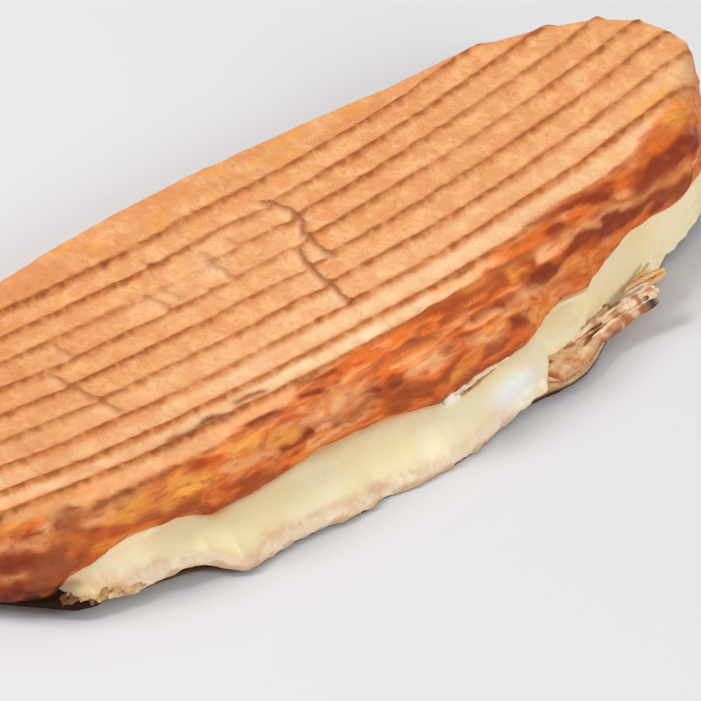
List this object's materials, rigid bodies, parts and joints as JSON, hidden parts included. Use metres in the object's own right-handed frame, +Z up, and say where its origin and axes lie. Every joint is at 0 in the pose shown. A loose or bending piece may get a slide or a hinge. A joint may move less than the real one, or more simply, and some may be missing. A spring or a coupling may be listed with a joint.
{
  "type": "toasted sandwich",
  "caption": "Long roll filled with ham and melted cheese, pressed flat in a ribbed grill, with dark grill grooves on its crust and cheese showing at one side",
  "frame": {"origin": "middle of the resting face, below the centre of the whole sandwich's outline", "axes": "+X along the roll, +Y across it away from the open cheesy side, +Z up"},
  "size_m": [0.2518, 0.101, 0.0281],
  "materials": {
    "golden_crust": "toasted bread crust, golden tan with dark grooves",
    "melted_cheese": "melted pale cheese, slightly glossy",
    "cooked_ham": "cooked ham with browned edges, moist",
    "pressed_base": "thin pressed bread with a browned underside"
  },
  "bodies": {
    "root": {"top_bread": "golden_crust", "cheese": "melted_cheese", "ham": "cooked_ham", "bottom_bread": "pressed_base"}
  },
  "joints": []
}
